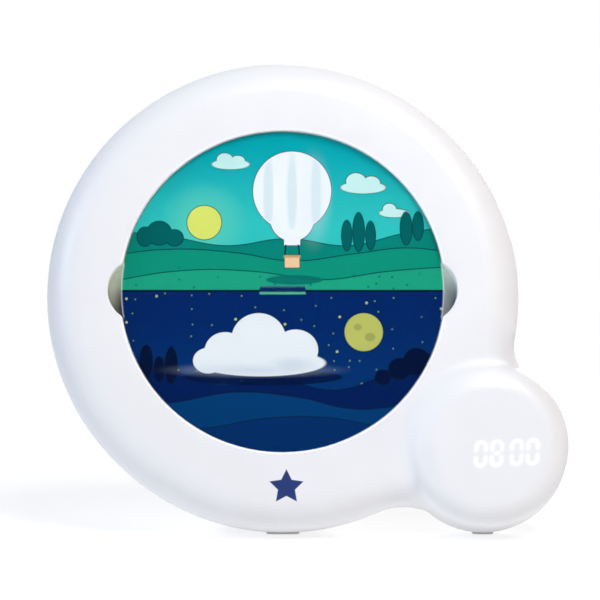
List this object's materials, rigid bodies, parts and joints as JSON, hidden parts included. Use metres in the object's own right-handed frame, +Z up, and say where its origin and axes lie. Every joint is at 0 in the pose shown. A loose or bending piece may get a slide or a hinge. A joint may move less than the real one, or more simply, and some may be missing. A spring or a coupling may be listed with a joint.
{
  "type": "sleep trainer clock",
  "caption": "White ring clock with a backlit day and night picture behind a pull-out clear cover, a digit pod at the lower right, keys behind and a fold-out leg.",
  "frame": {"origin": "middle of the ring foot's flat face on the table", "axes": "+X to the clock's right as it is looked at, +Y to the back, +Z up; the clock leans back 10 degrees"},
  "size_m": [0.2205, 0.0889, 0.2004],
  "materials": {
    "white_shell": "satin moulded ABS",
    "clear_plastic": "clear and polished",
    "picture_film": "printed translucent film, day above, night below",
    "diffuser": "milky translucent",
    "white_inner": "matt moulded",
    "circuit_board": "green solder mask",
    "led": "clear resin over phosphor",
    "chip": "black epoxy",
    "steel": "zinc plated",
    "switch_body": "black moulded",
    "grey_button": "satin moulded",
    "cell_can": "plain printed sleeve",
    "contact_metal": "nickel plated",
    "rubber": "matt",
    "speaker_basket": "black",
    "speaker_paper": "pressed fibre",
    "ferrite": "ferrite with a plated cap",
    "black_plastic": "black moulded"
  },
  "bodies": {
    "clock": {"front_housing": "white_shell", "rear_housing": "white_shell", "diffuser_disc": "diffuser", "light_box": "white_inner", "display_light_guide": "white_inner", "day_led_board": "circuit_board", "night_led_board": "circuit_board", "display_board": "circuit_board", "main_board": "circuit_board", "day_leds": "led", "night_leds": "led", "display_leds": "led", "board_chips": "chip", "housing_screws": "steel", "light_box_screws": "steel", "display_screws": "steel", "board_screws": "steel", "leg_pin": "steel", "tactile_switches": "switch_body", "power_switch": "switch_body", "batteries": "cell_can", "contact_plates": "contact_metal", "contact_springs": "contact_metal", "socket_pin": "contact_metal", "ring_foot": "rubber", "pod_foot": "rubber", "speaker_gasket": "rubber", "speaker_frame": "speaker_basket", "speaker_cone": "speaker_paper", "speaker_magnet": "ferrite", "power_socket": "black_plastic"},
    "cover": {"clear_cover": "clear_plastic", "picture_disc": "picture_film"},
    "leg": {"support_leg": "white_shell", "leg_bar": "rubber"},
    "door": {"battery_door": "white_shell", "door_screw": "steel"},
    "plus_key": {"plus_button": "grey_button"},
    "set_key": {"set_button": "grey_button"},
    "minus_key": {"minus_button": "grey_button"},
    "light_key": {"light_button": "grey_button"},
    "power_slider": {"power_knob": "black_plastic"}
  },
  "joints": [
    {"name": "cover_pull", "type": "slide", "parent": "clock", "child": "cover", "axis": [0, -0.9848, 0.1736], "range_m": [0, 0.03]},
    {"name": "leg_fold", "type": "hinge", "parent": "clock", "child": "leg", "pos_m": [0, 0.00749, 0.0171], "axis": [1, 0, 0], "range_deg": [0, 96.88]},
    {"name": "door_tip", "type": "hinge", "parent": "clock", "child": "door", "pos_m": [0, 0.02256, 0.08065], "axis": [-1, 0, 0], "range_deg": [0, 35]},
    {"name": "plus_press", "type": "slide", "parent": "clock", "child": "plus_key", "axis": [0, -0.9848, 0.1736], "range_m": [0, 0.0008], "stiffness_N_per_m": 2000},
    {"name": "set_press", "type": "slide", "parent": "clock", "child": "set_key", "axis": [0, -0.9848, 0.1736], "range_m": [0, 0.0008], "stiffness_N_per_m": 2000},
    {"name": "minus_press", "type": "slide", "parent": "clock", "child": "minus_key", "axis": [0, -0.9848, 0.1736], "range_m": [0, 0.0008], "stiffness_N_per_m": 2000},
    {"name": "light_press", "type": "slide", "parent": "clock", "child": "light_key", "axis": [0, -0.9848, 0.1736], "range_m": [0, 0.0008], "stiffness_N_per_m": 2000},
    {"name": "power_slide", "type": "slide", "parent": "clock", "child": "power_slider", "axis": [0, 0.1736, 0.9848], "range_m": [0, 0.004]}
  ]
}
